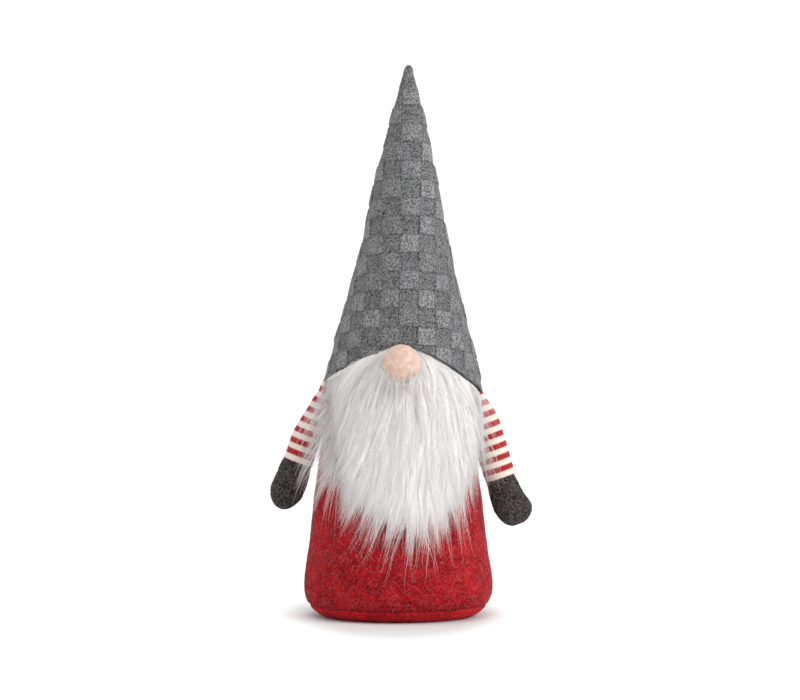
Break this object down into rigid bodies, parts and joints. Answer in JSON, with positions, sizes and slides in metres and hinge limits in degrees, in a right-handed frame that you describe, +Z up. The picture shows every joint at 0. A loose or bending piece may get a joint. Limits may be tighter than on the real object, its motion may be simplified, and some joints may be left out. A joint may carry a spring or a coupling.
{
  "type": "tomte gnome figurine",
  "caption": "Stuffed felt tomte gnome with a tall pointed hat, round nose, long fur beard, striped sleeves and felt mittens, standing on a flat weighted base.",
  "frame": {"origin": "centre of the flat round foot, on the surface that it stands on", "axes": "+Z up along the body, -Y the way the gnome faces, +X towards its left arm"},
  "size_m": [0.2195, 0.1742, 0.48],
  "materials": {
    "red_felt": "matte",
    "grey_felt": "matte",
    "dark_felt": "matte",
    "knit": "matte",
    "nose_cloth": "matte",
    "fur": "matte",
    "backing": "matte",
    "fibre_fill": "matte",
    "bag_cloth": "matte",
    "card": "matte",
    "pellets": "matte",
    "wire": "satin",
    "red_thread": "matte",
    "grey_thread": "matte",
    "white_thread": "matte"
  },
  "bodies": {
    "root": {"base_panel": "red_felt", "base_disc": "card", "weight_bag": "bag_cloth", "weight_pellets": "pellets", "body_cover": "red_felt", "body_stuffing": "fibre_fill", "base_seam_stitches": "red_thread", "body_seam_stitches": "red_thread", "hat_cone": "grey_felt", "hat_stuffing": "fibre_fill", "hat_wire": "wire", "hat_seam_stitches": "grey_thread", "nose_cover": "nose_cloth", "nose_stuffing": "fibre_fill", "nose_thread": "white_thread", "beard_backing_top": "backing", "beard_fur_top": "fur", "beard_stitches": "white_thread", "right_sleeve_end": "knit", "right_shoulder_stitches": "red_thread", "left_sleeve_end": "knit", "left_shoulder_stitches": "red_thread"},
    "hat_tip": {"hat_tip_cone": "grey_felt", "hat_tip_stuffing": "fibre_fill", "hat_tip_wire": "wire", "hat_tip_seam_stitches": "grey_thread"},
    "beard": {"beard_backing": "backing", "beard_fur": "fur"},
    "right_shoulder": {"right_sleeve_gather": "knit"},
    "right_arm": {"right_sleeve": "knit", "right_mitten": "dark_felt", "right_sleeve_stuffing": "fibre_fill", "right_mitten_stuffing": "fibre_fill", "right_cuff_stitches": "grey_thread"},
    "left_shoulder": {"left_sleeve_gather": "knit"},
    "left_arm": {"left_sleeve": "knit", "left_mitten": "dark_felt", "left_sleeve_stuffing": "fibre_fill", "left_mitten_stuffing": "fibre_fill", "left_cuff_stitches": "grey_thread"}
  },
  "joints": [
    {"name": "hat_bend", "type": "hinge", "parent": "root", "child": "hat_tip", "pos_m": [0.00637, 0, 0.33497], "axis": [0, 1, 0], "range_deg": [-35, 35]},
    {"name": "beard_lift", "type": "hinge", "parent": "root", "child": "beard", "pos_m": [0, -0.0615, 0.203], "axis": [-1, 0, 0], "range_deg": [0, 35]},
    {"name": "right_arm_raise", "type": "hinge", "parent": "root", "child": "right_shoulder", "pos_m": [-0.0635, 0, 0.199], "axis": [0, 1, 0], "range_deg": [0, 45]},
    {"name": "right_arm_swing", "type": "hinge", "parent": "right_shoulder", "child": "right_arm", "pos_m": [-0.0635, 0, 0.199], "axis": [-1, 0, 0], "range_deg": [-25, 50]},
    {"name": "left_arm_raise", "type": "hinge", "parent": "root", "child": "left_shoulder", "pos_m": [0.0655, 0, 0.1905], "axis": [0, -1, 0], "range_deg": [0, 45]},
    {"name": "left_arm_swing", "type": "hinge", "parent": "left_shoulder", "child": "left_arm", "pos_m": [0.0655, 0, 0.1905], "axis": [-1, 0, 0], "range_deg": [-25, 50]}
  ]
}
